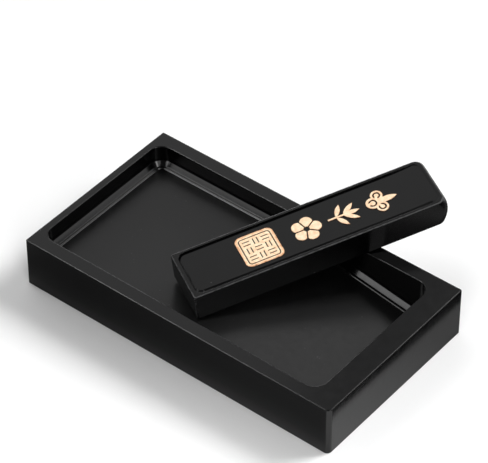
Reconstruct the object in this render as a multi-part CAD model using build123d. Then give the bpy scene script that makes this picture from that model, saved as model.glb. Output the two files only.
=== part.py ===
from build123d import *
from math import asin, atan2, degrees, hypot
import os

# An ink-grinding set: a carved stone slab with a sunk well, and a moulded ink stick laid across it.
# The origin is the middle of the slab's base. X runs along the slab towards the deep end of the
# well, Y across it towards the side that the stick hangs over, and Z up. Sizes are millimetres.

# Stone slab, with three crisp upright corners and one that is worn round
slab_length = 135.0
slab_width = 75.6
slab_height = 20.7
slab_corner_radius = 0.6
slab_worn_corner_radius = 2.0
slab_top_round = 0.4
slab_base_round = 0.4

# Well: an open basin with upright walls, nearer to the shallow end than to the deep end
rim_at_shallow_end = 3.0
rim_at_deep_end = 9.3
rim_at_sides = 5.65
well_corner_radius = 5.3
rim_inner_round = 0.4
wall_at_shallow_end = 6.5
grinding_fall = 0.3
pool_start_x = 7.0
base_under_pool = 3.6
floor_blend_radius = 110.0

# Moulding at the foot of the wall: a bevel, a narrow land and a small bevelled step to the floor
bevel_size = 1.6
land_width = 0.7
step_height = 0.4

# Ink stick, its length taken over the domed tip
stick_length = 97.3
stick_width = 22.2
stick_thickness = 11.5
tip_dome = 1.5
stick_edge_round = 0.45
head_corner_radius = 0.7
tip_corner_radius = 3.0

# Sunk panel on the stick's face
panel_border = 1.2
panel_head_border = 1.7
panel_depth = 0.6
panel_corner_radius = 2.9
panel_foot_radius = 0.3

# Gilded relief on the panel, laid out from the tip towards the head, which stays bare
relief_height = 0.35
relief_tip_margin = 15.3
relief_gap = 2.5
tablet_gap = 5.2
tablet_size = 14.4
tablet_corner_radius = 2.4
tablet_line_inset = 1.1
tablet_line_width = 0.4
tablet_line_depth = 0.2
weave_cells = 3
weave_pitch = 3.5
weave_bar_length = 2.7
weave_bar_spacing = 1.5
blossom_size = 11.2
blossom_petals = 5
blossom_petal_radius = 2.35
blossom_heart_radius = 1.1
blossom_slit_width = 0.4
sprig_length = 12.2
sprig_leaf_length = 6.0
sprig_leaf_width = 1.9
sprig_stem_width = 0.8
sprig_low_leaf_turn = 58.0
sprig_end_leaf_turn = 36.0
cloud_length = 12.0
cloud_crown_radius = 2.6
cloud_side_radius = 2.3
cloud_tail_width = 2.6
cloud_curl_width = 0.5
cloud_curl_turn = 60.0

# How the stick lies: one low corner of its head stands on the grinding floor, and its underside
# leans on the inner edge of the rim along +Y
head_corner_x = -0.1
head_corner_from_wall = 8.0
stick_turn = 61.5
seat_gap = 0.15

# How far a cutting shape runs past what it cuts, and the slope below which a face's normal counts
# as pointing down
overshoot = 5.0
nearly_down = -0.9

# Worked-out places of the well
well_x_min = -slab_length / 2 + rim_at_shallow_end
well_x_max = slab_length / 2 - rim_at_deep_end
well_y_max = slab_width / 2 - rim_at_sides
well_length = well_x_max - well_x_min
well_width = 2 * well_y_max
well_middle = (well_x_min + well_x_max) / 2

# Worked-out falls of the land below the rim: at the shallow end, where the pool starts, at the deep end
fall_shallow = wall_at_shallow_end + bevel_size
fall_pool_start = fall_shallow + grinding_fall
fall_deep = slab_height - base_under_pool - step_height
grinding_slope = grinding_fall / (pool_start_x - well_x_min)
pool_slope = (fall_deep - fall_pool_start) / (well_x_max - pool_start_x)

# Worked-out middles of the ornaments, measured along the stick from its head
cloud_middle = stick_length - relief_tip_margin - cloud_length / 2
sprig_middle = cloud_middle - cloud_length / 2 - relief_gap - sprig_length / 2
blossom_middle = sprig_middle - sprig_length / 2 - relief_gap - blossom_size / 2
tablet_middle = blossom_middle - blossom_size / 2 - tablet_gap - tablet_size / 2


def fall_at(x):
    """How far the land lies below the rim at x, leaving out the blend between the two slopes."""
    if x < pool_start_x:
        return fall_shallow + grinding_slope * (x - well_x_min)
    return fall_pool_start + pool_slope * (x - pool_start_x)


def air_above(extra_depth):
    """The space above the floor line, as a prism right across the slab."""
    x_low = well_x_min - overshoot
    x_high = well_x_max + overshoot
    low_end = (x_low, slab_height - fall_at(x_low) - extra_depth)
    bend = (pool_start_x, slab_height - fall_at(pool_start_x) - extra_depth)
    deep_end = (x_high, slab_height - fall_at(x_high) - extra_depth)
    top = slab_height + overshoot
    outline = Polyline(low_end, bend, deep_end, (x_high, top), (x_low, top), close=True)
    section = Plane.XZ * make_face(outline)
    corner = section.vertices().sort_by_distance(Vector(bend[0], 0, bend[1]))[0]
    section = fillet(corner, floor_blend_radius)
    return extrude(section, amount=slab_width / 2, both=True)


def basin(inset, extra_depth, bevel):
    """A block of air with the well's outline drawn in by inset, and a bevel all round its floor."""
    outline = RectangleRounded(well_length - 2 * inset, well_width - 2 * inset, well_corner_radius - inset)
    column = extrude(Pos(well_middle, 0, 0) * outline, amount=slab_height + overshoot)
    air = column & air_above(extra_depth)
    floor = [face for face in air.faces() if face.normal_at().Z < nearly_down]
    edges = [edge for face in floor for edge in face.edges()]
    outer = [edge for edge in edges if sum(edge.is_same(other) for other in edges) == 1]
    return chamfer(outer, bevel)


def make_inkstone():
    """The slab: outer block, basin, moulding at the foot of the wall, and softened edges."""
    block = extrude(Rectangle(slab_length, slab_width), amount=slab_height)
    uprights = block.edges().filter_by(Axis.Z).sort_by_distance((slab_length / 2, -slab_width / 2, 0))
    block = fillet(uprights[0], slab_worn_corner_radius)
    uprights = block.edges().filter_by(Axis.Z).sort_by_distance((-slab_length / 2, slab_width / 2, 0))
    block = fillet(uprights[:3], slab_corner_radius)
    block = fillet(block.faces().sort_by(Axis.Z)[0].edges(), slab_base_round)
    block = fillet(block.faces().sort_by(Axis.Z)[-1].edges(), slab_top_round)
    stone = block - basin(0.0, 0.0, bevel_size)
    stone = stone - basin(bevel_size + land_width, step_height, step_height)
    rim = stone.faces().filter_by(Axis.Z).sort_by(Axis.Z)[-1]
    stone = fillet(rim.inner_wires()[0].edges(), rim_inner_round)
    return stone


def panel_outline():
    """The sunk panel's outline, in the stick's own frame."""
    length = stick_length - tip_dome - panel_head_border - panel_border
    width = stick_width - 2 * panel_border
    middle = panel_head_border + length / 2
    return Pos(middle, stick_width / 2, 0) * RectangleRounded(length, width, panel_corner_radius)


def make_stick():
    """The ink stick in its own frame: X from head to tip, Y across, Z up through its thickness."""
    end = stick_length - tip_dome
    flats = Polyline((end, stick_thickness), (0, stick_thickness), (0, 0), (end, 0))
    dome = ThreePointArc((end, 0), (stick_length, stick_thickness / 2), (end, stick_thickness))
    bar = extrude(Plane.XZ * make_face(Curve() + [flats, dome]), amount=-stick_width)
    bar = fillet(bar.edges().filter_by(GeomType.CIRCLE), tip_corner_radius)
    bar = fillet(bar.edges().filter_by(Axis.Z).group_by(Axis.X)[0], head_corner_radius)
    flat_faces = bar.faces().filter_by(Axis.Z).sort_by(Axis.Z)
    bar = fillet(flat_faces[0].edges() + flat_faces[-1].edges(), stick_edge_round)
    panel = Pos(0, 0, stick_thickness - panel_depth) * panel_outline()
    sunk = extrude(panel, amount=panel_depth + overshoot)
    sunk = fillet(sunk.faces().sort_by(Axis.Z)[0].edges(), panel_foot_radius)
    return bar - sunk


def raised(sketch, middle):
    """Raises a flat ornament from the panel, its middle at a distance from the stick's head."""
    place = Pos(middle, stick_width / 2, stick_thickness - panel_depth)
    return extrude(place * sketch, amount=relief_height)


def weave_bars():
    """Short bars in a square basket weave, two to a cell and turned in every other cell."""
    pair = Rectangle(weave_bar_length, tablet_line_width)
    pair = Pos(0, weave_bar_spacing / 2, 0) * pair + Pos(0, -weave_bar_spacing / 2, 0) * pair
    bars = Sketch()
    first = -(weave_cells - 1) / 2 * weave_pitch
    for column in range(weave_cells):
        for row in range(weave_cells):
            place = Pos(first + column * weave_pitch, first + row * weave_pitch, 0)
            bars += place * Rot(0, 0, 90 * ((column + row) % 2)) * pair
    return bars


def make_tablet():
    """A round-cornered square tablet with a sunk line inside its edge and a sunk basket weave."""
    tablet = raised(RectangleRounded(tablet_size, tablet_size, tablet_corner_radius), tablet_middle)
    line_size = tablet_size - 2 * tablet_line_inset
    line_radius = tablet_corner_radius - tablet_line_inset
    inner_size = line_size - 2 * tablet_line_width
    line = RectangleRounded(line_size, line_size, line_radius)
    line -= RectangleRounded(inner_size, inner_size, line_radius - tablet_line_width)
    face = stick_thickness - panel_depth + relief_height
    place = Pos(tablet_middle, stick_width / 2, face)
    return tablet - extrude(place * (line + weave_bars()), amount=-tablet_line_depth)


def make_blossom():
    """A blossom of round petals, with an open heart and a slit between each two petals."""
    reach = blossom_size / 2 - blossom_petal_radius
    turn = 360 / blossom_petals
    flower = Circle(reach)
    for petal in range(blossom_petals):
        flower += Rot(0, 0, turn * petal) * Pos(reach, 0, 0) * Circle(blossom_petal_radius)
    slit = Pos(reach, 0, 0) * Rectangle(blossom_size / 2, blossom_slit_width)
    for petal in range(blossom_petals):
        flower -= Rot(0, 0, turn * (petal + 0.5)) * slit
    flower -= Circle(blossom_heart_radius)
    return raised(flower, blossom_middle)


def leaf(length, width):
    """A leaf pointed at both ends, along X, from two equal arcs."""
    upper = ThreePointArc((0, 0), (length / 2, width / 2), (length, 0))
    lower = ThreePointArc((length, 0), (length / 2, -width / 2), (0, 0))
    return make_face(Curve() + [upper, lower])


def make_sprig():
    """A bamboo sprig: a thin stem with a low pair of leaves and three more at its end."""
    start = -sprig_length / 2
    fork = start + sprig_length - sprig_leaf_length
    sprig = Pos((start + fork) / 2, 0, 0) * Rectangle(fork - start, sprig_stem_width)
    for turn in (-sprig_low_leaf_turn, sprig_low_leaf_turn):
        sprig += Pos((start + fork) / 2, 0, 0) * Rot(0, 0, turn) * leaf(sprig_leaf_length, sprig_leaf_width)
    for turn in (-sprig_end_leaf_turn, 0, sprig_end_leaf_turn):
        root = Pos(fork - sprig_stem_width / 2, 0, 0) * Rot(0, 0, turn)
        sprig += root * leaf(sprig_leaf_length + sprig_stem_width / 2, sprig_leaf_width)
    return raised(sprig, sprig_middle)


def curl(radius):
    """A sunk line that curls inside a round lobe, open on the side of -X."""
    ring = Circle(radius / 2 + cloud_curl_width / 2) - Circle(radius / 2 - cloud_curl_width / 2)
    return ring - Pos(-radius / 2, 0, 0) * Rectangle(radius, radius / 2)


def make_cloud():
    """A cloud head: a crown lobe, two side lobes and a pointed tail, with a curl in each lobe."""
    crown = Pos(cloud_crown_radius - cloud_length / 2, 0, 0)
    sides_x = crown.position.X + cloud_crown_radius
    sides = [Pos(sides_x, side * (cloud_side_radius + cloud_curl_width), 0) for side in (-1, 1)]
    cloud = crown * Circle(cloud_crown_radius) + Pos(sides_x, 0, 0) * Circle(cloud_side_radius)
    tail_start = sides_x - cloud_side_radius / 2
    cloud += Pos(tail_start, 0, 0) * leaf(cloud_length / 2 - tail_start, cloud_tail_width)
    for side in sides:
        cloud += side * Circle(cloud_side_radius)
    cloud -= crown * curl(cloud_crown_radius)
    for side, turn in zip(sides, (-cloud_curl_turn, cloud_curl_turn)):
        cloud -= side * Rot(0, 0, turn) * curl(cloud_side_radius)
    return raised(cloud, cloud_middle)


def stick_place():
    """Where the stick lies: head corner on the floor, underside on the rounded rim edge."""
    floor_z = slab_height - fall_at(head_corner_x) - step_height
    corner_z = floor_z + seat_gap
    corner_y = head_corner_from_wall - well_y_max
    to_rim_y = well_y_max + rim_inner_round - corner_y
    to_rim_z = slab_height - rim_inner_round - corner_z
    rise = atan2(to_rim_z, to_rim_y) + asin((rim_inner_round + seat_gap) / hypot(to_rim_y, to_rim_z))
    return Pos(head_corner_x, corner_y, corner_z) * Rot(degrees(rise), 0, 0) * Rot(0, 0, stick_turn)


def main():
    os.makedirs("parts", exist_ok=True)
    place = stick_place()
    pieces = {
        "inkstone": make_inkstone(),
        "ink_stick": place * make_stick(),
        "gilt_tablet": place * make_tablet(),
        "gilt_blossom": place * make_blossom(),
        "gilt_sprig": place * make_sprig(),
        "gilt_cloud": place * make_cloud(),
    }
    for name, piece in pieces.items():
        export_step(piece, f"parts/{name}.step")
        print(name, round(piece.volume, 2))


main()
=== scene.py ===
# %% [markdown]
# An inkstone and its ink stick
#
# The object is a rectangular block of dark stone with a sunk well, in which a solid stick of ink
# is rubbed with a little water. The stick lies across the slab, one corner of its head on the
# well's floor and its back on the rim. This script loads the measured model as a fixed frame,
# models the slab, the stick and its gilt ornaments with finer edges than the frame has, and gives
# them their looks: the honed and the ground stone, the pressed ink and the worn gold paint.

# %% Load the measured model
from math import asin, atan2, cos, degrees, hypot, radians, sin, sqrt
import bmesh
import bpy
from mathutils import Matrix, Quaternion, Vector


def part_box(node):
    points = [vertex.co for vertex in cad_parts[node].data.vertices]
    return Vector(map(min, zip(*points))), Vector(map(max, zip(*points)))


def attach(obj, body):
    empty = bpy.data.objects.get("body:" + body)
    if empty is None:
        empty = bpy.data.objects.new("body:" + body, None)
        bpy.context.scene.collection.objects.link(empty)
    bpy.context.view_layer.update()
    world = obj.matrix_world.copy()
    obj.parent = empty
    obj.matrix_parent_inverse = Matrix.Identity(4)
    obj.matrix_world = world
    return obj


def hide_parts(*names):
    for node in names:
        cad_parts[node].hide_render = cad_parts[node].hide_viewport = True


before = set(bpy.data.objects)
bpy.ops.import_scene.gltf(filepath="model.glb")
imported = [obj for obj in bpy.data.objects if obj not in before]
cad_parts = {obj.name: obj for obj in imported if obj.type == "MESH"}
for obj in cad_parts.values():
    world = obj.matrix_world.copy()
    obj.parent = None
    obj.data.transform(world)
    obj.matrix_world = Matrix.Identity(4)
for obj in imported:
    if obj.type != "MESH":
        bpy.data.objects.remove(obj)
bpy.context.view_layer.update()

# %% [markdown]
# The camera
#
# The photograph was taken with a long lens from about a metre away, to the right of the slab's
# long front side and a little over forty degrees up. A camera can be placed by its coordinates,
# but a point to look at, a distance and two angles say more: here the point lies on the plane of
# the slab's top, just behind the middle of the picture's slab.

# %% Camera
slab_low, slab_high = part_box("inkstone")
aim = Vector((-0.01014, 0.01386, slab_high.z))
camera_distance = 0.985
camera_azimuth = radians(38.77)
camera_elevation = radians(42.23)
lens_length = 205.5


def direction(azimuth, elevation):
    """The way from the object towards a place round it, from two angles in radians."""
    return Vector((sin(azimuth) * cos(elevation), -cos(azimuth) * cos(elevation), sin(elevation)))


towards_camera = direction(camera_azimuth, camera_elevation)
camera = bpy.data.objects.new("camera", bpy.data.cameras.new("camera"))
camera.data.lens = lens_length
camera.location = aim + camera_distance * towards_camera
camera.rotation_mode = "QUATERNION"
camera.rotation_quaternion = towards_camera.to_track_quat("Z", "Y")
bpy.context.scene.collection.objects.link(camera)
bpy.context.scene.camera = camera
bpy.context.scene.view_settings.view_transform = "Standard"
print("camera at", [round(1000 * part, 1) for part in camera.location], "mm")

# %% [markdown]
# Helpers for meshes and objects
#
# Every piece is made in the same way: a bmesh is shaped by operators and then written into a mesh
# and an object that stays at the origin, so that its place is in its mesh. Two small helpers keep
# the later cells short. The bevel operator's own defaults round vertices, with one flat segment,
# so the helper says what it wants: edges, a round profile and several segments.

# %% Helpers
mm = 0.001
level_within = 0.01 * mm
same_place = 0.001 * mm


def add_object(name, shape, materials):
    """Writes a finished bmesh into a new object at the origin."""
    mesh = bpy.data.meshes.new(name)
    shape.to_mesh(mesh)
    shape.free()
    for material in materials:
        mesh.materials.append(material)
    piece = bpy.data.objects.new(name, mesh)
    bpy.context.scene.collection.objects.link(piece)
    return piece


def round_edges(shape, edges, radius, segments):
    """Rounds edges by a radius, with a number of strips."""
    return bmesh.ops.bevel(shape, geom=edges, offset=radius, offset_type="OFFSET", segments=segments,
                           profile=0.5, affect="EDGES", material=-1, clamp_overlap=False)


print("lengths are in metres, so a millimetre is", mm)

# %% [markdown]
# Materials: a few shared effects
#
# Stone, ink and gold paint are all made of the same few effects in other measures: a fine grain
# that the light catches, clouds of a slightly other gloss, streaks left by grinding, thin wear
# along the edges and specks of dust. Each could be drawn again in every material. Here each is a
# node group, built once and placed with its own values. The patterns read Object coordinates, so
# they stay on their piece, and the wear reads a number that the mesh keeps on its vertices.

# %% Helpers for nodes
def new_group(name, inputs, outputs):
    """An empty shader group with its input and output nodes."""
    group = bpy.data.node_groups.new(name, "ShaderNodeTree")
    for label, value in inputs.items():
        socket = group.interface.new_socket(label, in_out="INPUT", socket_type="NodeSocketFloat")
        socket.default_value = value
    for label in outputs:
        group.interface.new_socket(label, in_out="OUTPUT", socket_type="NodeSocketFloat")
    return group, group.nodes.new("NodeGroupInput"), group.nodes.new("NodeGroupOutput")


def add_node(tree, kind, values=None, **settings):
    """A new node with its settings, and numbers or links for its inputs."""
    node = tree.nodes.new("ShaderNode" + kind)
    for label, value in settings.items():
        setattr(node, label, value)
    for label, value in (values or {}).items():
        if isinstance(value, bpy.types.NodeSocket):
            tree.links.new(value, node.inputs[label])
        else:
            node.inputs[label].default_value = value
    return node


def calculate(tree, operation, *values, clamp=False):
    """A math node's result."""
    node = add_node(tree, "Math", dict(enumerate(values)), operation=operation, use_clamp=clamp)
    return node.outputs[0]


def rescale(tree, value, from_low, from_high, to_low, to_high):
    """A value moved from one range to another and held inside it."""
    node = add_node(tree, "MapRange", {"Value": value, "From Min": from_low, "From Max": from_high,
                                       "To Min": to_low, "To Max": to_high})
    return node.outputs["Result"]


def between(tree, fraction, at_zero, at_one):
    """A value between two others, from a fraction of 0 to 1."""
    return rescale(tree, fraction, 0.0, 1.0, at_zero, at_one)


def noise(tree, place, scale, detail=3.0):
    """Cloudy noise from 0 to 1, with its scale in clouds per metre."""
    node = add_node(tree, "TexNoise", {"Vector": place, "Scale": scale, "Detail": detail,
                                       "Roughness": 0.55})
    return node.outputs["Fac"]


def colour_ramp(tree, value, stops):
    """A colour that goes through the given stops as a value rises."""
    ramp = add_node(tree, "ValToRGB", {"Fac": value})
    elements = ramp.color_ramp.elements
    first, *middle, last = stops
    for element, (position, colour) in zip(elements, (first, last)):
        element.position = position
        element.color = (*colour, 1)
    for position, colour in middle:
        elements.new(position).color = (*colour, 1)
    return ramp.outputs["Color"]


# %% Group: grain and clouds
coarse_share = 0.6
grain_group, grain_in, grain_out = new_group("grain", {"Grains": 1500.0, "Clouds": 150.0},
                                             ["Height", "Cloud"])
place = add_node(grain_group, "TexCoord").outputs["Object"]
fine = noise(grain_group, place, grain_in.outputs["Grains"], detail=2.0)
coarse = noise(grain_group, place, grain_in.outputs["Clouds"], detail=5.0)
rough_height = calculate(grain_group, "MULTIPLY_ADD", coarse, coarse_share, fine)
grain_group.links.new(rough_height, grain_out.inputs["Height"])
grain_group.links.new(rescale(grain_group, coarse, 0.32, 0.68, 0.0, 1.0), grain_out.inputs["Cloud"])

# %% Group: wear along the edges
wear_group, wear_in, wear_out = new_group("edge_wear", {"Break up": 700.0}, ["Wear"])
place = add_node(wear_group, "TexCoord").outputs["Object"]
on_edge = add_node(wear_group, "Attribute", attribute_name="edge").outputs["Fac"]
patches = noise(wear_group, place, wear_in.outputs["Break up"])
patches = rescale(wear_group, patches, 0.35, 0.65, 0.35, 1.0)
wear_group.links.new(calculate(wear_group, "MULTIPLY", on_edge, patches), wear_out.inputs["Wear"])

# %% Group: streaks of the grinding
streak_group, streak_in, streak_out = new_group("streaks", {"Lines": 1500.0}, ["Height"])
place = add_node(streak_group, "TexCoord").outputs["Object"]
facing = add_node(streak_group, "TexCoord").outputs["Normal"]
facing = add_node(streak_group, "SeparateXYZ", {"Vector": facing}).outputs
stretch = 0.04
streaks = []
for scale, side in (((1.0, stretch, stretch), "Y"), ((stretch, 1.0, stretch), "X")):
    stretched = add_node(streak_group, "Mapping", {"Vector": place, "Scale": scale}).outputs["Vector"]
    lines = noise(streak_group, stretched, streak_in.outputs["Lines"], detail=2.0)
    turned_to = calculate(streak_group, "ABSOLUTE", facing[side])
    streaks.append(calculate(streak_group, "MULTIPLY", lines, turned_to))
streak_group.links.new(calculate(streak_group, "ADD", *streaks), streak_out.inputs["Height"])

# %% Group: specks of dust
dust_group, dust_in, dust_out = new_group("dust", {"Specks": 420.0, "Amount": 0.25}, ["Speck"])
place = add_node(dust_group, "TexCoord").outputs["Object"]
cell = add_node(dust_group, "TexVoronoi", {"Vector": place, "Scale": dust_in.outputs["Specks"]})
chance = add_node(dust_group, "SeparateColor", {"Color": cell.outputs["Color"]})
chosen = calculate(dust_group, "LESS_THAN", chance.outputs["Red"], dust_in.outputs["Amount"])
size = between(dust_group, chance.outputs["Green"], 0.08, 0.3)
inside = calculate(dust_group, "SUBTRACT", size, cell.outputs["Distance"])
spot = rescale(dust_group, inside, 0.0, 0.1, 0.0, 1.0)
dust_group.links.new(calculate(dust_group, "MULTIPLY", spot, chosen), dust_out.inputs["Speck"])
print("groups", [group.name for group in bpy.data.node_groups])

# %% [markdown]
# Materials: the stone
#
# The stone is nearly black: almost nothing comes from its colour, and almost all that the eye sees
# is what it mirrors. Its rim, walls and sides are honed smooth. The floor of the well is ground
# matt, because the ink needs a tooth to rub on, and there the mirrored light spreads out. They are
# one stone in two finishes, so one function builds both from different values.

# %% Helpers for materials
def new_material(name, colour, roughness, specular):
    """A new material and its shader, with the plain values set on it."""
    material = bpy.data.materials.new(name)
    material.use_nodes = True
    shader = material.node_tree.nodes["Principled BSDF"]
    shader.inputs["Base Color"].default_value = (*colour, 1)
    shader.inputs["Roughness"].default_value = roughness
    shader.inputs["Specular IOR Level"].default_value = specular
    return material, material.node_tree, shader


def use_group(tree, group, **values):
    """Places a shared effect in a material."""
    node = add_node(tree, "Group", node_tree=group)
    for label, value in values.items():
        node.inputs[label.replace("_", " ")].default_value = value
    return node.outputs


def mix(tree, factor, first, second):
    """A colour between two colours, each a socket or three numbers.

    The node has more than one pair of sockets named A and B, so its colour sockets are taken by
    their numbers.
    """
    node = add_node(tree, "Mix", data_type="RGBA")
    sockets = (node.inputs[0], node.inputs[6], node.inputs[7])
    for socket, value in zip(sockets, (factor, first, second)):
        if isinstance(value, bpy.types.NodeSocket):
            tree.links.new(value, socket)
        else:
            socket.default_value = value if isinstance(value, float) else (*value, 1)
    return node.outputs[2]


def bump(tree, shader, height, depth):
    """Lets a height from 0 to 1 tilt the surface, with its real depth in metres."""
    node = add_node(tree, "Bump", {"Height": height, "Distance": depth, "Strength": 1.0})
    tree.links.new(node.outputs["Normal"], shader.inputs["Normal"])


# %% Stone
clouded = 0.15
wear_roughness = 0.15


def make_stone(name, colour, worn_grey, dust_grey, roughness, specular, grains, clouds, grain_depth,
               specks, dustiness, lines, streak_depth):
    """Dark stone, from its colours, its gloss, its grain and streaks and its dust."""
    material, tree, shader = new_material(name, colour, roughness[0], specular)
    grain = use_group(tree, grain_group, Grains=grains, Clouds=clouds)
    wear = use_group(tree, wear_group, Break_up=700.0)["Wear"]
    dust = use_group(tree, dust_group, Specks=specks, Amount=dustiness)["Speck"]
    deep, light = ([share * part for part in colour] for share in (1 - clouded, 1 + clouded))
    body = mix(tree, grain["Cloud"], deep, light)
    body = mix(tree, wear, body, 3 * (worn_grey,))
    tree.links.new(mix(tree, dust, body, 3 * (dust_grey,)), shader.inputs["Base Color"])
    gloss = between(tree, grain["Cloud"], *roughness)
    gloss = calculate(tree, "MULTIPLY_ADD", wear, wear_roughness, gloss)
    tree.links.new(gloss, shader.inputs["Roughness"])
    streaks = use_group(tree, streak_group, Lines=lines)["Height"]
    height = calculate(tree, "MULTIPLY_ADD", streaks, streak_depth / grain_depth, grain["Height"])
    bump(tree, shader, height, grain_depth)
    return material


honed_stone = make_stone("honed_stone", colour=(0.0008, 0.0008, 0.0009), worn_grey=0.006,
                         dust_grey=0.012, roughness=(0.12, 0.17), specular=0.35,
                         grains=2500.0, clouds=300.0, grain_depth=0.001 * mm,
                         specks=900.0, dustiness=0.01, lines=1300.0, streak_depth=0.012 * mm)
ground_stone = make_stone("ground_stone", colour=(0.003, 0.003, 0.0031), worn_grey=0.012,
                          dust_grey=0.035, roughness=(0.28, 0.34), specular=0.42,
                          grains=2200.0, clouds=420.0, grain_depth=0.008 * mm,
                          specks=1100.0, dustiness=0.06, lines=900.0, streak_depth=0.02 * mm)
print("stones", honed_stone.name, ground_stone.name)

# %% Ink
def make_ink():
    """Pressed soot ink: black, with a soft sheen, faint clouds and pale worn edges, whose paleness is
    partly a painted highlight.
    """
    deep, light = (0.0008, 0.0008, 0.0009), (0.0014, 0.0014, 0.0015)
    # The worn grey is much paler than the ink: partly real wear, partly a painted highlight along the
    # ridges.
    worn, dusty = (0.07, 0.07, 0.072), (0.03, 0.03, 0.03)
    material, tree, shader = new_material("pressed_ink", (0.0018, 0.0018, 0.0019), roughness=0.2,
                                          specular=0.35)
    grain = use_group(tree, grain_group, Grains=2200.0, Clouds=120.0)
    wear = use_group(tree, wear_group, Break_up=500.0)["Wear"]
    dust = use_group(tree, dust_group, Specks=900.0, Amount=0.01)["Speck"]
    body = mix(tree, grain["Cloud"], deep, light)
    body = mix(tree, wear, body, worn)
    tree.links.new(mix(tree, dust, body, dusty), shader.inputs["Base Color"])
    gloss = between(tree, grain["Cloud"], 0.2, 0.26)
    gloss = calculate(tree, "MULTIPLY_ADD", wear, 0.1, gloss)
    tree.links.new(gloss, shader.inputs["Roughness"])
    bump(tree, shader, grain["Height"], 0.002 * mm)
    return material


pressed_ink = make_ink()
print("ink", pressed_ink.name)

# %% [markdown]
# Materials: the gold
#
# The ornaments are painted by hand with powdered gold. The paint lies thick on their faces and
# thins out to copper at their rims, where it meets the ink. That edge follows each ornament, so
# it can't come from a pattern in space: a number on each vertex says how thick the paint is.

# %% Gold
gold_stops = ((0.08, (0.008, 0.006, 0.005)), (0.18, (0.22, 0.08, 0.03)), (0.32, (0.72, 0.36, 0.18)),
              (0.5, (0.92, 0.56, 0.33)), (0.75, (1.0, 0.7, 0.45)), (1.0, (1.0, 0.84, 0.6)))


def make_gold():
    """Gold paint whose thickness comes from the mesh, uneven and worn in flecks."""
    material, tree, shader = new_material("gold_paint", (0.9, 0.62, 0.34), roughness=0.4, specular=0.5)
    thickness = add_node(tree, "Attribute", attribute_name="paint").outputs["Fac"]
    grain = use_group(tree, grain_group, Grains=2600.0, Clouds=700.0)
    place = add_node(tree, "TexCoord").outputs["Object"]
    flecks = rescale(tree, noise(tree, place, 1700.0, detail=4.0), 0.28, 0.38, 0.6, 1.0)
    uneven = between(tree, grain["Cloud"], -0.38, 0.06)
    thick = calculate(tree, "ADD", thickness, uneven)
    thick = calculate(tree, "MULTIPLY", thick, flecks, clamp=True)
    tree.links.new(colour_ramp(tree, thick, gold_stops), shader.inputs["Base Color"])
    tree.links.new(rescale(tree, thick, 0.1, 0.5, 0.0, 0.1), shader.inputs["Metallic"])
    tree.links.new(between(tree, grain["Cloud"], 0.32, 0.5), shader.inputs["Roughness"])
    bump(tree, shader, grain["Height"], 0.01 * mm)
    return material


gold_paint = make_gold()
print("gold", gold_paint.name)

# %% [markdown]
# The slab
#
# The slab is a block with a basin cut into it. It could be carved with booleans, but those leave
# stray slivers where the soft edges meet. Instead the block's lid is taken off, the basin is drawn
# as one face in its place and pushed down in steps, each a little further in, and the flat rim is
# filled in between the two outlines. The steps are the rounded rim, the upright wall, a bevel that
# is very slightly hollow, a narrow land and a small step down to the floor.

# %% Slab: the block
def box_shape(low, high):
    """A bmesh with one box between two corners."""
    shape = bmesh.new()
    bmesh.ops.create_cube(shape, size=1.0)
    bmesh.ops.scale(shape, vec=high - low, verts=shape.verts)
    bmesh.ops.translate(shape, vec=(low + high) / 2, verts=shape.verts)
    return shape


def upright(edge):
    """Whether an edge of a box stands along Z."""
    return abs(edge.verts[0].co.z - edge.verts[1].co.z) > mm


def level(edge, height):
    """Whether an edge lies in a level plane."""
    return all(abs(vert.co.z - height) < level_within for vert in edge.verts)


worn_corner = 2.0 * mm
crisp_corner = 0.6 * mm
block_round = 0.4 * mm

slab = box_shape(slab_low, slab_high)
nearest_first = sorted((edge for edge in slab.edges if upright(edge)),
                       key=lambda edge: edge.verts[0].co.y - edge.verts[0].co.x)
round_edges(slab, nearest_first[:1], worn_corner, segments=10)
round_edges(slab, nearest_first[1:], crisp_corner, segments=5)
for height in (slab_low.z, slab_high.z):
    level_edges = [edge for edge in slab.edges if level(edge, height)]
    round_edges(slab, level_edges, block_round, segments=4)
print("block faces", len(slab.faces))

# %% Slab: the basin's mouth
well_low = Vector((-64.5, -32.15, 0)) * mm
well_high = Vector((58.2, 32.15, 0)) * mm
well_corner = 5.3 * mm
lip_round = 0.4 * mm
blend_start = -1.6 * mm
blend_end = 15.6 * mm
blend_strips = 10


def open_lid(shape, height, low, high, corner_radius, lip, segments):
    """Swaps a shape's top face for the face of a round-cornered mouth, wider by a lip all round."""
    grow = Vector((lip, lip, 0))
    low, high = low - grow, high + grow
    lid = [face for face in shape.faces if all(level(edge, height) for edge in face.edges)]
    bmesh.ops.delete(shape, geom=lid, context="FACES_ONLY")
    old = set(shape.faces)
    drawn = bmesh.ops.create_grid(shape, x_segments=1, y_segments=1, size=0.5)["verts"]
    bmesh.ops.scale(shape, vec=(high.x - low.x, high.y - low.y, 1), verts=drawn)
    middle = ((low.x + high.x) / 2, (low.y + high.y) / 2, height)
    bmesh.ops.translate(shape, vec=middle, verts=drawn)
    bmesh.ops.bevel(shape, geom=drawn, offset=corner_radius + lip, offset_type="OFFSET",
                    segments=segments, profile=0.5, affect="VERTICES", material=-1,
                    clamp_overlap=False)
    return [face for face in shape.faces if face not in old]


def slice_faces(shape, faces, places):
    """Cuts flat faces across at places along X, and returns the parts."""
    others = set(shape.faces) - set(faces)
    for x in places:
        edges_and_verts = {item for face in faces for item in (*face.edges, *face.verts)}
        bmesh.ops.bisect_plane(shape, geom=[*faces, *edges_and_verts], plane_co=(x, 0, 0),
                               plane_no=(1, 0, 0))
        faces = [face for face in shape.faces if face not in others]
    return faces


def step_in(shape, faces, inward, down):
    """Draws a region of faces in and lowers it, leaving a new ring of faces round it."""
    bmesh.ops.inset_region(shape, faces=faces, thickness=inward, depth=0, use_even_offset=True,
                           use_boundary=True)
    bmesh.ops.translate(shape, vec=(0, 0, -down),
                        verts=list({vert for face in faces for vert in face.verts}))


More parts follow.
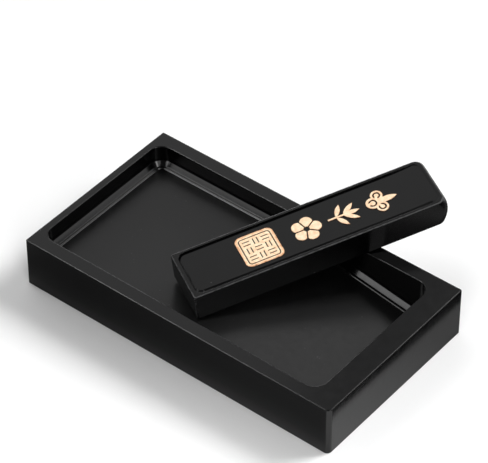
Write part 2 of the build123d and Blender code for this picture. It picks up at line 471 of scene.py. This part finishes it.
mouth = open_lid(slab, slab_high.z, well_low, well_high, well_corner, lip_round, segments=12)
strip = (blend_end - blend_start) / blend_strips
mouth = slice_faces(slab, mouth, [blend_start + strip * index for index in range(blend_strips + 1)])
print("strips across the mouth", len(mouth))

# %% Slab: lip, wall, bevel, land and step
wall_height = 6.5 * mm
bevel_size = 1.6 * mm
bevel_hollow = radians(3)
bevel_strips = 3
land_width = 0.7 * mm
step_height = 0.4 * mm
lip_strips = 4


def follow_arc(shape, faces, radius, first_slope, last_slope, strips):
    """Steps in and down along an arc between two slopes, with a minus radius where it is hollow."""
    for index in range(strips):
        start, end = (first_slope + (last_slope - first_slope) * count / strips
                      for count in (index, index + 1))
        step_in(shape, faces, radius * (sin(end) - sin(start)), radius * (cos(start) - cos(end)))


follow_arc(slab, mouth, lip_round, 0.0, radians(90), lip_strips)
step_in(slab, mouth, 0.0, wall_height - lip_round)
wall_foot = slab_high.z - wall_height
bevel_radius = bevel_size * sqrt(2) / (2 * sin(bevel_hollow))
follow_arc(slab, mouth, -bevel_radius, radians(45) + bevel_hollow, radians(45) - bevel_hollow,
           bevel_strips)
step_in(slab, mouth, land_width, 0.0)
step_in(slab, mouth, step_height, step_height)
print("floor at", round(1000 * mouth[0].verts[0].co.z, 3), "mm before it is sloped")

# %% [markdown]
# The slab's floor
#
# The floor falls very little where the ink is ground, and then slopes down to a pool at the deep
# end. The moulding follows it. Up to here floor and moulding are level, so everything below the
# wall's foot is now lowered by a function of its place along the slab: a gentle slope, a steeper
# one, and between them a parabola, which bends evenly from one to the other.

# %% Slab: the slope and the pool
grinding_fall = 0.3 * mm
pool_start = 7.0 * mm
pool_fall = 8.3 * mm
grinding_slope = grinding_fall / (pool_start - well_low.x)
pool_slope = pool_fall / (well_high.x - pool_start)


def slope_fall(x):
    """How far the floor has fallen at a place along the slab, from the shallow end."""
    if x > blend_end:
        return grinding_fall + pool_slope * (x - pool_start)
    fall = grinding_slope * (x - well_low.x)
    if x > blend_start:
        bend = (pool_slope - grinding_slope) / (2 * (blend_end - blend_start))
        fall += bend * (x - blend_start) ** 2
    return fall


for vert in slab.verts:
    if slab_low.z + mm < vert.co.z < wall_foot + same_place:
        vert.co.z -= slope_fall(vert.co.x)
for face in mouth:
    face.material_index = 1
pool_bottom = min(vert.co.z for face in mouth for vert in face.verts)
print("stone under the pool", round(1000 * (pool_bottom - slab_low.z), 2), "mm")

# %% Slab: the rim and the worn edges
least_worn_radius = 0.2 * mm
largest_worn_radius = 0.9 * mm
largest_worn_face = 30 * mm ** 2
least_turn = radians(12)


def mark_edges(shape, flat_faces):
    """Notes on every vertex whether it lies on a small convex rounding, which wears first; on the ink
    its pale wear is partly a painted highlight.
    """
    edge_wear = shape.verts.layers.float.new("edge")
    for edge in shape.edges:
        width = sum(face.calc_area() for face in edge.link_faces) / (2 * edge.calc_length())
        turn = edge.calc_face_angle_signed(0.0)
        if turn > least_turn and least_worn_radius * turn < width < largest_worn_radius * turn:
            for vert in edge.verts:
                vert[edge_wear] = 1.0
    for face in shape.faces:
        if face in flat_faces or face.calc_area() > largest_worn_face:
            for vert in face.verts:
                vert[edge_wear] = 0.0


def close_rim(shape):
    """Fills the flat ring between a shape's two open outlines, and counts the edges left open."""
    outlines = [edge for edge in shape.edges if edge.is_boundary]
    filled = bmesh.ops.triangle_fill(shape, edges=outlines, normal=(0, 0, 1), use_beauty=True)
    ring = {item for item in filled["geom"] if isinstance(item, bmesh.types.BMFace)}
    bmesh.ops.recalc_face_normals(shape, faces=shape.faces)
    for face in shape.faces:
        face.smooth = face not in ring
    for edge in shape.edges:
        edge.smooth = sum(face in ring for face in edge.link_faces) != 1
    mark_edges(shape, ring)
    return sum(not edge.is_manifold for edge in shape.edges)


open_edges = close_rim(slab)
print("open edges left", open_edges, "volume", round(slab.calc_volume() / mm ** 3), "mm3")

# %% Slab: finish
sharp_angle = radians(28)


def soften(piece, width):
    """Takes the sharpness off a piece's creases, merges points that meet and keeps faces flat."""
    crease = piece.modifiers.new("crease", "BEVEL")
    crease.limit_method = "ANGLE"
    crease.angle_limit = sharp_angle
    crease.width = width
    crease.segments = 2
    crease.use_clamp_overlap = True
    crease.harden_normals = True
    crease.miter_outer = "MITER_ARC"
    weld = piece.modifiers.new("weld", "WELD")
    weld.merge_threshold = 2 * same_place
    shading = piece.modifiers.new("shading", "WEIGHTED_NORMAL")
    shading.keep_sharp = True


stone_slab = add_object("stone_slab", slab, [honed_stone, ground_stone])
soften(stone_slab, 0.12 * mm)
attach(stone_slab, "slab")
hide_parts("inkstone")
print(stone_slab.name, "vertices", len(stone_slab.data.vertices))

# %% [markdown]
# The ink stick
#
# A stick is pressed from soot and glue in a wooden mould, so its edges are soft, its tip is
# slightly domed and its face has a sunk panel with a narrow border. All this is easiest to shape
# in a frame of its own, lying straight along X, before the stick is laid across the slab. The dome
# is the end face cut into strips that move out along a circle.

# %% Stick: the bar
stick_length = 97.3 * mm
stick_width = 22.2 * mm
stick_thickness = 11.5 * mm
tip_dome = 1.5 * mm
tip_corner = 3.0 * mm
head_corner = 0.7 * mm
stick_round = 0.45 * mm
dome_cuts = 7

bar_end = stick_length - tip_dome
stick = box_shape(Vector((0, 0, 0)), Vector((bar_end, stick_width, stick_thickness)))
end_edges = [edge for edge in stick.edges if upright(edge) and edge.verts[0].co.x > mm]
bmesh.ops.subdivide_edges(stick, edges=end_edges, cuts=dome_cuts, use_grid_fill=True)
dome_radius = (stick_thickness ** 2 / 4 + tip_dome ** 2) / (2 * tip_dome)
for vert in stick.verts:
    if vert.co.x > mm:
        from_middle = vert.co.z - stick_thickness / 2
        vert.co.x = stick_length - dome_radius + sqrt(dome_radius ** 2 - from_middle ** 2)


def along_side(edge):
    """Whether an edge of the bar follows the dome's curve on one of the long sides."""
    first, second = (vert.co for vert in edge.verts)
    return min(first.x, second.x) > mm and abs(first.y - second.y) < level_within


round_edges(stick, [edge for edge in stick.edges if along_side(edge)], tip_corner, segments=8)
head_edges = [edge for edge in stick.edges if upright(edge) and edge.verts[0].co.x < mm]
round_edges(stick, head_edges, head_corner, segments=4)
for height in (0.0, stick_thickness):
    level_edges = [edge for edge in stick.edges if level(edge, height)]
    round_edges(stick, level_edges, stick_round, segments=4)
print("bar faces", len(stick.faces))

# %% [markdown]
# The stick's sunk panel
#
# The mould left the panel a little sunk, with a fine groove round it. It could be a texture, but
# the groove's slopes catch the light differently as the stick is lifted, so it is shaped: the
# panel is pushed down in steps like the slab's basin, first to the bottom of the groove and then
# up again to the panel itself. The groove is left out of one round corner, where it would flash in
# a lamp's mirror image. Towards the tip the panel rises until it is nearly level with its border:
# everything below the border is lifted there by a share of its depth that grows along the stick.

# %% Stick: the panel and its groove
panel_low = Vector((1.7, 1.2, 0)) * mm
panel_high = Vector((stick_length / mm - 2.7, 21.0, 0)) * mm
panel_corner = 2.9 * mm
panel_depth = 0.6 * mm
panel_lip = 0.08 * mm
groove_width = 0.75 * mm
groove_depth = 0.28 * mm
near_groove_extra = Vector((0, 0.5, 0)) * mm
lip_strips = 2
a_little_less = 0.99

panel = open_lid(stick, stick_thickness, panel_low, panel_high, panel_corner, panel_lip, segments=10)
follow_arc(stick, panel, panel_lip, 0.0, radians(90), lip_strips)
step_in(stick, panel, 0.0, panel_depth - panel_lip + groove_depth)
arc_end = panel_low.xy + a_little_less * Vector((panel_corner, panel_corner))
corner_verts = [vert for vert in panel[0].verts if max(vert.co.xy - arc_end) < 0]
step_in(stick, panel, groove_width, -groove_depth)
for vert in corner_verts:
    vert.co.z += groove_depth
for vert in panel[0].verts:
    if vert.co.y < stick_width / 2:
        vert.co += near_groove_extra
print("panel", round(1000 * (stick_thickness - panel[0].verts[0].co.z), 3), "mm deep,",
      "groove left out at", len(corner_verts), "points")

# %% Stick: the panel's rise and the border
ramp_length = 12.0 * mm
tip_fade = 0.8
a_little_over = 1.01

ramp_start = panel_high.x - ramp_length
side_low = panel_low.y - a_little_over * panel_lip
side_high = panel_high.y + a_little_over * panel_lip
deepest = a_little_over * (panel_depth + groove_depth)
below_panel = panel_depth + groove_depth / 2
bmesh.ops.bisect_plane(stick, geom=[*stick.verts, *stick.edges, *stick.faces],
                       plane_co=(ramp_start, 0, 0), plane_no=(1, 0, 0))
for vert in stick.verts:
    along = (vert.co.x - ramp_start) / ramp_length
    sunk = stick_thickness - vert.co.z
    if 0 < along < a_little_over and side_low < vert.co.y < side_high and sunk < deepest:
        vert.co.z = stick_thickness - sunk * (1 - tip_fade * along)
open_edges = close_rim(stick)
for face in stick.faces:
    if below_panel < stick_thickness - min(vert.co.z for vert in face.verts) < deepest:
        face.smooth = False
        for edge in face.edges:
            edge.smooth = False
edge_wear = stick.verts.layers.float["edge"]
# The pale line along the edges is partly a painted highlight, so it is left off the lower edges, which
# are out of the light.
for vert in stick.verts:
    if vert.co.z < stick_round:
        vert[edge_wear] = 0.0
print("open edges left", open_edges, "volume", round(stick.calc_volume() / mm ** 3), "mm3")

# %% [markdown]
# Laying the stick across the slab
#
# The stick stands with one low corner of its head on the well's floor and leans on the rounded
# edge of the rim. Its slope isn't chosen: it follows from the height of that corner, the height
# of the rim and the radius of the rim's edge, as it would on the desk.

# %% Stick: where it lies
rest_gap = 0.15 * mm
turn = radians(61.5)
head_x = -0.1 * mm
head_y = well_low.y + 8.0 * mm
head_z = wall_foot - bevel_size - grinding_slope * (head_x - well_low.x) - step_height + rest_gap
reach = well_high.y + lip_round - head_y
climb = slab_high.z - lip_round - head_z
rise = atan2(climb, reach) + asin((lip_round + rest_gap) / hypot(reach, climb))
lay_stick = (Matrix.Translation((head_x, head_y, head_z)) @ Matrix.Rotation(rise, 4, "X")
             @ Matrix.Rotation(turn, 4, "Z"))
bmesh.ops.transform(stick, matrix=lay_stick, verts=stick.verts)
ink_bar = add_object("ink_bar", stick, [pressed_ink])
soften(ink_bar, 0.1 * mm)
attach(ink_bar, "stick")
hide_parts("ink_stick")
print("the stick rises by", round(degrees(rise), 2), "degrees")

# %% [markdown]
# The gilt ornaments
#
# The frame has the ornaments as thin solids with sharp edges. Painted relief has soft shoulders,
# and its paint thins out there. So each piece is a merged copy of its solid, turned back into the
# stick's own frame, where its top faces are drawn in a little and their old outline is lowered.
# The vertices of the new shoulder remember how thick the paint lies on them.

# %% Ornaments
thin_paint = 0.3
middling_paint = 0.6
full_paint = 1.0


def make_ornament(name, shoulder, band):
    """A soft-shouldered copy of a gilt node, with its paint's thickness on its vertices.

    Its outline is painted thin. The paint is middling on a band beside it, given as a share of the
    ornament's half size, and full everywhere else.
    """
    shape = bmesh.new()
    shape.from_mesh(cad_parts[name].data)
    bmesh.ops.remove_doubles(shape, verts=shape.verts, dist=same_place)
    bmesh.ops.transform(shape, matrix=lay_stick.inverted(), verts=shape.verts)
    bmesh.ops.dissolve_limit(shape, angle_limit=radians(1), verts=shape.verts, edges=shape.edges)
    bmesh.ops.recalc_face_normals(shape, faces=shape.faces)
    paint = shape.verts.layers.float.new("paint")
    low, high = (Vector([pick(vert.co[axis] for vert in shape.verts) for axis in range(3)])
                 for pick in (min, max))
    middle, half = (low + high) / 2, (high - low) / 2
    tops = [face for face in shape.faces if all(level(edge, high.z) for edge in face.edges)]
    ring = bmesh.ops.inset_region(shape, faces=tops, thickness=shoulder, depth=0,
                                  use_even_offset=True)["faces"]
    rim = {vert for face in ring for vert in face.verts}
    rim -= {vert for face in tops for vert in face.verts}
    for vert in shape.verts:
        if vert.co.z > high.z - level_within:
            outwards = max(abs(vert.co[axis] - middle[axis]) / half[axis] for axis in (0, 1))
            at_outline = outwards > 1 - band
            if vert in rim:
                vert[paint] = thin_paint if at_outline else full_paint
            else:
                vert[paint] = middling_paint if at_outline and band < 1 else full_paint
    bmesh.ops.translate(shape, verts=list(rim), vec=(0, 0, -shoulder))
    bmesh.ops.transform(shape, matrix=lay_stick, verts=shape.verts)
    piece = add_object(name.replace("gilt", "painted"), shape, [gold_paint])
    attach(piece, "stick")
    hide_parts(name)
    return piece


fine_shoulder = 0.06 * mm
soft_shoulder = 0.14 * mm
tablet_band = 0.12
piece = make_ornament("gilt_tablet", fine_shoulder, tablet_band)
print(piece.name, "faces", len(piece.data.polygons))
for name in ("gilt_blossom", "gilt_sprig", "gilt_cloud"):
    piece = make_ornament(name, soft_shoulder, 1.0)
    print(piece.name, "faces", len(piece.data.polygons))

# %% [markdown]
# The studio
#
# The slab stands on a white floor. The key softbox stands behind it to the right, so the shadow
# falls to the left and the front, and two weak lamps fill that shadow. These three are hidden from
# reflections, because almost everything that the black stone shows is a mirror image. The other
# softboxes stand where the stone mirrors them towards the camera: behind to the left for the level
# faces and the pool, on the other sides for the mouldings and the worn edges. The small ones show
# in reflections only. A lamp's power is in watts and its place in degrees and metres.

# %% Floor and cards
def flat_sheet(name, low, high, height, paint):
    """A level sheet of the studio between two corners, which isn't part of the object."""
    shape = bmesh.new()
    bmesh.ops.create_grid(shape, x_segments=1, y_segments=1, size=0.5)
    bmesh.ops.scale(shape, vec=(high[0] - low[0], high[1] - low[1], 1), verts=shape.verts)
    middle = ((low[0] + high[0]) / 2, (low[1] + high[1]) / 2, height)
    bmesh.ops.translate(shape, vec=middle, verts=shape.verts)
    sheet = add_object(name, shape, [paint])
    return sheet


floor_half = 3.0
floor_white = 0.94
floor_paint = new_material("floor_paint", 3 * (floor_white,), roughness=0.9, specular=0.0)[0]
studio_floor = flat_sheet("floor", (-floor_half, -floor_half), (floor_half, floor_half), 0.0,
                          floor_paint)
print("floor", [round(side, 2) for side in studio_floor.dimensions], "m")

# %% [markdown]
# Dark cards of painted shade
#
# The upright sides of the stone mirror the floor in front of them. Cards lie on that floor, which the
# picture looks straight at, but they show only in reflections. They are painted shade and painted
# reflections: graded greys for the floor's shadow before the slab, a dark band in its end face and a
# darker floor behind it.

# %% Cards
card_lift = 0.3 * mm
front_paling = 17 * mm
end_strip = 9.1 * mm
end_strip_edge = 0.6 * mm
end_strip_slant = 0.0172


def card(name, low, high, tone):
    """A card of painted shade on the floor that only mirrors show, with a function that draws its
    tone.
    """
    paint, tree, shader = new_material(name + "_paint", (0.5, 0.5, 0.5), roughness=0.9, specular=0.0)
    place = add_node(tree, "TexCoord").outputs["Object"]
    across = add_node(tree, "SeparateXYZ", {"Vector": place}).outputs
    grey = add_node(tree, "CombineColor")
    value = tone(tree, across["X"], across["Y"])
    for channel in ("Red", "Green", "Blue"):
        tree.links.new(value, grey.inputs[channel])
    tree.links.new(grey.outputs["Color"], shader.inputs["Base Color"])
    sheet = flat_sheet(name, low, high, card_lift, paint)
    sheet.visible_camera = False
    sheet.visible_shadow = False
    sheet.visible_diffuse = False
    print(name, [round(1000 * side) for side in sheet.dimensions.xy], "mm")


def front_shade_tone(tree, x, y):
    """Painted shade of the floor's shadow for the front side to mirror: dark far out and to the left,
    paler near the slab and to the right.
    """
    near = rescale(tree, y, slab_low.y - front_paling, slab_low.y, 0.0, 1.0)
    greys = ((0.0, 0.28), (0.5, 0.36), (0.75, 0.52), (0.9, 0.83), (1.0, 1.0))
    near = colour_ramp(tree, near, [(position, 3 * (grey,)) for position, grey in greys])
    return calculate(tree, "MULTIPLY", near, rescale(tree, x, -0.05, 0.04, 0.62, 1.0))


def end_shade_tone(tree, x, y):
    """Painted reflection for the end face: grey on a narrow strip beside the slab, with painted shade
    darkening it towards the back, then nearly black beyond a slanting line.
    """
    strip_end = slab_high.x + end_strip
    slanting = calculate(tree, "MULTIPLY_ADD", y, end_strip_slant, x)
    beyond = rescale(tree, slanting, strip_end, strip_end + end_strip_edge, 0.0, 0.95)
    dark = calculate(tree, "MULTIPLY", beyond, rescale(tree, y, -0.028, -0.024, 0.0, 1.0))
    near = rescale(tree, y, -0.03, 0.04, 0.78, 0.36)
    return calculate(tree, "MULTIPLY", near, calculate(tree, "SUBTRACT", 1.0, dark))


def back_shade_tone(tree, x, y):
    """Painted shade behind the slab for the stick to mirror: dark, a little paler towards its deep
    end.
    """
    return rescale(tree, x, 0.03, slab_high.x, 0.03, 0.1)


# Each card paints shade or a dark reflection into what the stone mirrors.
card("front_shade_card", low=(-0.12, -0.1), high=(slab_high.x, slab_low.y), tone=front_shade_tone)
card("end_shade_card", low=(slab_high.x, -0.04), high=(0.28, 0.14), tone=end_shade_tone)
card("back_shade_card", low=(-0.02, slab_high.y), high=(slab_high.x, 0.14), tone=back_shade_tone)

# %% World and lamps
world_grey = 0.12
world = bpy.data.worlds.new("studio")
world.use_nodes = True
world.node_tree.nodes["Background"].inputs["Color"].default_value = (*3 * (world_grey,), 1)
bpy.context.scene.world = world


def softbox(name, azimuth, elevation, distance, width, height, watts, lean=0.0, lights=False,
            mirrored=True):
    """A rectangular lamp that looks at the object from two angles in degrees, and may lean.

    It lights what is matt, is mirrored by what is glossy, or both. The camera never sees it.
    """
    lamp = bpy.data.lights.new(name, "AREA")
    lamp.shape = "RECTANGLE"
    lamp.size = width
    lamp.size_y = height
    lamp.energy = watts
    box = bpy.data.objects.new(name, lamp)
    way = direction(radians(azimuth), radians(elevation))
    box.location = distance * way
    box.rotation_mode = "QUATERNION"
    box.rotation_quaternion = way.to_track_quat("Z", "Y") @ Quaternion((0, 0, 1), radians(lean))
    box.visible_camera = False
    box.visible_diffuse = lights
    box.visible_glossy = mirrored
    bpy.context.scene.collection.objects.link(box)


softbox("key_softbox", azimuth=150, elevation=42, distance=2.0, width=0.9, height=0.9, watts=41,
        lights=True, mirrored=False)
softbox("fill_softbox", azimuth=-80, elevation=45, distance=1.4, width=1.2, height=1.2, watts=6,
        lights=True, mirrored=False)
softbox("near_fill", azimuth=42, elevation=30, distance=0.25, width=0.1, height=0.1, watts=0.2,
        lights=True, mirrored=False)
softbox("side_softbox", azimuth=-124, elevation=46, distance=1.2, width=0.6, height=1.0, watts=0.85,
        lean=-19, lights=True)
softbox("back_softbox", azimuth=-150, elevation=42, distance=1.2, width=0.9, height=0.8, watts=0.6,
        lights=True)
softbox("backdrop", azimuth=-132, elevation=13, distance=1.3, width=1.6, height=0.25, watts=4.4,
        lights=True)
softbox("pool_softbox", azimuth=-162, elevation=54, distance=1.1, width=0.24, height=0.3, watts=0.33)
softbox("front_low", azimuth=-36, elevation=33, distance=0.9, width=0.25, height=0.2, watts=0.3)
softbox("front_deep", azimuth=-16, elevation=38, distance=0.9, width=0.22, height=0.3, watts=0.85)
softbox("front_high", azimuth=-62, elevation=56, distance=0.9, width=0.2, height=0.4, watts=3.2,
        lean=35)
softbox("corner_softbox", azimuth=74, elevation=49, distance=0.9, width=0.5, height=0.2, watts=0.6)
softbox("edge_low", azimuth=131, elevation=25, distance=1.0, width=0.25, height=0.35, watts=0.4)
softbox("edge_high", azimuth=164, elevation=52, distance=1.0, width=0.2, height=0.25, watts=1.2)
softbox("ridge_strip", azimuth=88, elevation=45, distance=1.5, width=0.25, height=1.1, watts=5.5,
        lean=-20)
